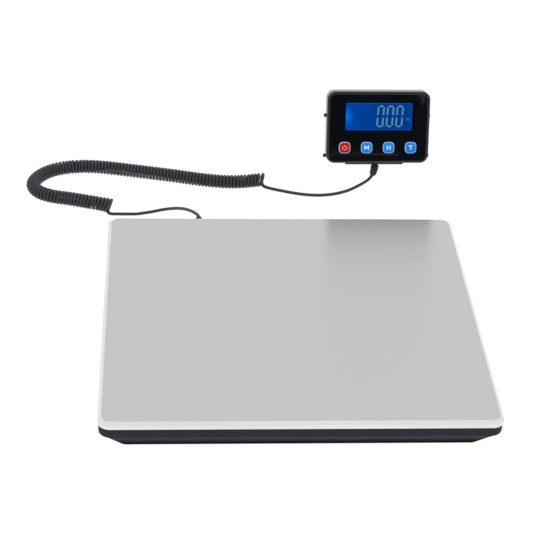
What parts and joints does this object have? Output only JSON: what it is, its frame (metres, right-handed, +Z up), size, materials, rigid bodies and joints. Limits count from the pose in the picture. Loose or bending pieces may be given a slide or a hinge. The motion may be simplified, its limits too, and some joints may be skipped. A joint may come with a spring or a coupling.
{
  "type": "platform shipping scale",
  "caption": "Low platform scale with a flat brushed steel tray on a black base with load cells, joined by a coiled cord to a small tilted battery display head.",
  "frame": {"origin": "on the surface, under the middle of the bounding box of the platform and display head, cord left out", "axes": "+X to the user's right, +Y away from the user towards the display head, +Z up"},
  "size_m": [0.3883, 0.4696, 0.0778],
  "materials": {
    "tray_steel": "fine lengthwise brushing with a brighter rolled edge",
    "sheet_steel": "plain pressed sheet",
    "machined_steel": "punched plate",
    "screw_steel": "plated",
    "housing_plastic": "fine texture, satin black",
    "black_rubber": "matt",
    "grey_rubber": "matt silicone",
    "cord_jacket": "satin jacket",
    "lead_sleeve": "satin sleeve",
    "circuit_board": "solder resist",
    "panel_gloss": "polished black sheet",
    "lcd_clear": "clear window",
    "lcd_blue": "blue negative display",
    "light_guide": "white light guide",
    "key_red": "satin red",
    "key_blue": "satin blue",
    "battery_can": "plain sleeve, no markings"
  },
  "bodies": {
    "base": {"base_housing": "housing_plastic", "deck_plate": "sheet_steel", "load_cell_front_left": "machined_steel", "load_cell_front_right": "machined_steel", "load_cell_rear_left": "machined_steel", "load_cell_rear_right": "machined_steel", "load_cell_seat_front_left": "housing_plastic", "load_cell_seat_front_right": "housing_plastic", "load_cell_seat_rear_left": "housing_plastic", "load_cell_seat_rear_right": "housing_plastic", "load_cell_lead_front_left": "lead_sleeve", "load_cell_lead_front_right": "lead_sleeve", "load_cell_lead_rear_left": "lead_sleeve", "load_cell_lead_rear_right": "lead_sleeve", "foot_front_left": "black_rubber", "foot_front_right": "black_rubber", "foot_rear_left": "black_rubber", "foot_rear_right": "black_rubber", "deck_screw_front_left": "screw_steel", "deck_screw_front_right": "screw_steel", "deck_screw_rear_left": "screw_steel", "deck_screw_rear_right": "screw_steel", "tray_pad_front_left": "black_rubber", "tray_pad_front_right": "black_rubber", "tray_pad_rear_left": "black_rubber", "tray_pad_rear_right": "black_rubber", "junction_board": "circuit_board", "base_strain_relief": "black_rubber", "cable_tail": "cord_jacket", "cord_lead_base": "cord_jacket", "cord_coil": "cord_jacket"},
    "tray": {"weighing_tray": "tray_steel"},
    "display_head": {"front_housing": "housing_plastic", "rear_housing": "housing_plastic", "housing_screw_1": "screw_steel", "housing_screw_2": "screw_steel", "housing_screw_3": "screw_steel", "housing_screw_4": "screw_steel", "display_strain_relief": "black_rubber", "panel_overlay": "panel_gloss", "lcd_window": "lcd_clear", "lcd_module": "lcd_blue", "lcd_backlight": "light_guide", "keypad_mat": "grey_rubber", "main_board": "circuit_board", "battery_1": "battery_can", "battery_2": "battery_can", "battery_3": "battery_can", "battery_contact_left": "screw_steel", "battery_contact_right": "screw_steel", "kickstand_pin": "screw_steel", "cord_lead_display": "cord_jacket"},
    "power_key": {"key_power": "key_red"},
    "mode_key": {"key_mode": "key_blue"},
    "hold_key": {"key_hold": "key_blue"},
    "tare_key": {"key_tare": "key_blue"},
    "battery_cover": {"battery_door": "housing_plastic"},
    "rear_leg": {"kickstand": "housing_plastic"}
  },
  "joints": [
    {"name": "tray_lift", "type": "slide", "parent": "base", "child": "tray", "axis": [0, 0, 1], "range_m": [0, 0.1]},
    {"name": "display_move", "type": "slide", "parent": "base", "child": "display_head", "axis": [1, 0, 0], "range_m": [0, 0.1]},
    {"name": "power_press", "type": "slide", "parent": "display_head", "child": "power_key", "axis": [-0.0132, 0.9454, -0.3256], "range_m": [0, 0.0008], "stiffness_N_per_m": 300},
    {"name": "mode_press", "type": "slide", "parent": "display_head", "child": "mode_key", "axis": [-0.0132, 0.9454, -0.3256], "range_m": [0, 0.0008], "stiffness_N_per_m": 300},
    {"name": "hold_press", "type": "slide", "parent": "display_head", "child": "hold_key", "axis": [-0.0132, 0.9454, -0.3256], "range_m": [0, 0.0008], "stiffness_N_per_m": 300},
    {"name": "tare_press", "type": "slide", "parent": "display_head", "child": "tare_key", "axis": [-0.0132, 0.9454, -0.3256], "range_m": [0, 0.0008], "stiffness_N_per_m": 300},
    {"name": "battery_cover_slide", "type": "slide", "parent": "display_head", "child": "battery_cover", "axis": [-0.0045, 0.3255, 0.9455], "range_m": [0, 0.036]},
    {"name": "rear_leg_hinge", "type": "hinge", "parent": "display_head", "child": "rear_leg", "pos_m": [0.10111, 0.22447, 0.0278], "axis": [0.9999, 0.014, 0], "range_deg": [-35, 0]}
  ]
}
